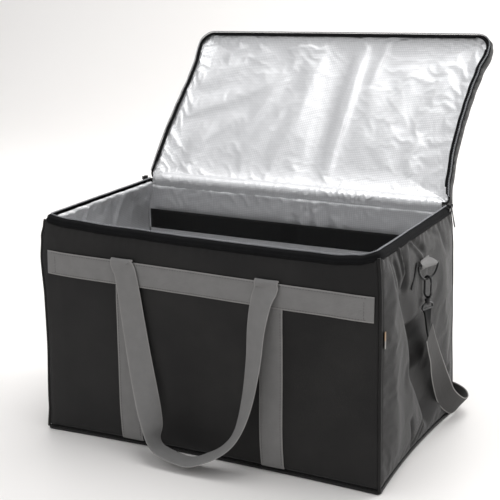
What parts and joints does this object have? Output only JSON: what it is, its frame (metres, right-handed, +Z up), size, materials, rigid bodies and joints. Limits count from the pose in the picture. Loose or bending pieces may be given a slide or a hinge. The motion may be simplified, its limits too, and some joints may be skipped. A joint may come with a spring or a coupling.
{
  "type": "cooler bag",
  "caption": "Large soft insulated cooler bag with a zipped hinged lid standing open, webbing handles and a shoulder strap on snap hooks.",
  "frame": {"origin": "centre of the base panel's underside, on the ground", "axes": "+X along the bag's long side, to the right seen from the front; +Y from the front towards the lid's hinge at the back; +Z up"},
  "size_m": [0.6654, 0.6398, 0.6431],
  "materials": {
    "silver_foil": "bright aluminised film with a fine embossed grid",
    "grey_webbing": "matte woven webbing",
    "black_webbing": "matte woven webbing",
    "zip_tape": "woven tape with a nylon coil",
    "black_metal": "satin enamel",
    "black_plastic": "moulded, semi-gloss",
    "tan_cloth": "folded cloth tape",
    "polyester_cloth": "tight plain weave with a faint sheen"
  },
  "bodies": {
    "bag": {"back_band": "grey_webbing", "back_handle": "grey_webbing", "back_panel": "polyester_cloth", "back_strip_left": "grey_webbing", "back_strip_right": "grey_webbing", "base_panel": "polyester_cloth", "body_zip_coil": "zip_tape", "body_zip_tape": "zip_tape", "d_ring_left": "black_metal", "d_ring_right": "black_metal", "foil_lining": "silver_foil", "front_band": "grey_webbing", "front_handle": "grey_webbing", "front_panel": "polyester_cloth", "front_strip_left": "grey_webbing", "front_strip_right": "grey_webbing", "hinge_cloth": "polyester_cloth", "hinge_foil": "silver_foil", "hook_body_left": "black_plastic", "hook_body_right": "black_plastic", "hook_swivel_left": "black_plastic", "hook_swivel_right": "black_plastic", "left_panel": "polyester_cloth", "lid_foil": "silver_foil", "lid_gusset": "polyester_cloth", "lid_panel": "polyester_cloth", "lid_zip_coil": "zip_tape", "lid_zip_tape": "zip_tape", "lining_band": "black_webbing", "piping_back_left": "polyester_cloth", "piping_back_right": "polyester_cloth", "piping_base": "polyester_cloth", "piping_front_left": "polyester_cloth", "piping_front_right": "polyester_cloth", "right_panel": "polyester_cloth", "seam_label": "tan_cloth", "shoulder_strap": "grey_webbing", "side_tab_left": "grey_webbing", "side_tab_right": "grey_webbing", "strap_end_left": "black_webbing", "strap_end_right": "black_webbing", "strap_tail": "black_webbing", "zip_slider_left": "black_metal", "zip_slider_right": "black_metal"},
    "pull_left": {"zip_pull_left": "black_metal"},
    "pull_right": {"zip_pull_right": "black_metal"},
    "gate_left": {"hook_gate_left": "black_plastic"},
    "gate_right": {"hook_gate_right": "black_plastic"}
  },
  "joints": [
    {"name": "left_pull_swing", "type": "hinge", "parent": "bag", "child": "pull_left", "pos_m": [-0.299, 0.155, 0.3773], "axis": [0, 1, 0], "range_deg": [0, 105]},
    {"name": "right_pull_swing", "type": "hinge", "parent": "bag", "child": "pull_right", "pos_m": [0.299, 0.155, 0.3773], "axis": [0, -1, 0], "range_deg": [0, 105]},
    {"name": "left_gate_opens", "type": "hinge", "parent": "bag", "child": "gate_left", "pos_m": [-0.32378, 0.00186, 0.27305], "axis": [-0.342, 0.9397, 0], "range_deg": [0, 20], "stiffness_Nm_per_rad": 0.05},
    {"name": "right_gate_opens", "type": "hinge", "parent": "bag", "child": "gate_right", "pos_m": [0.31741, 0.00186, 0.27305], "axis": [-0.342, -0.9397, 0], "range_deg": [0, 20], "stiffness_Nm_per_rad": 0.05}
  ]
}
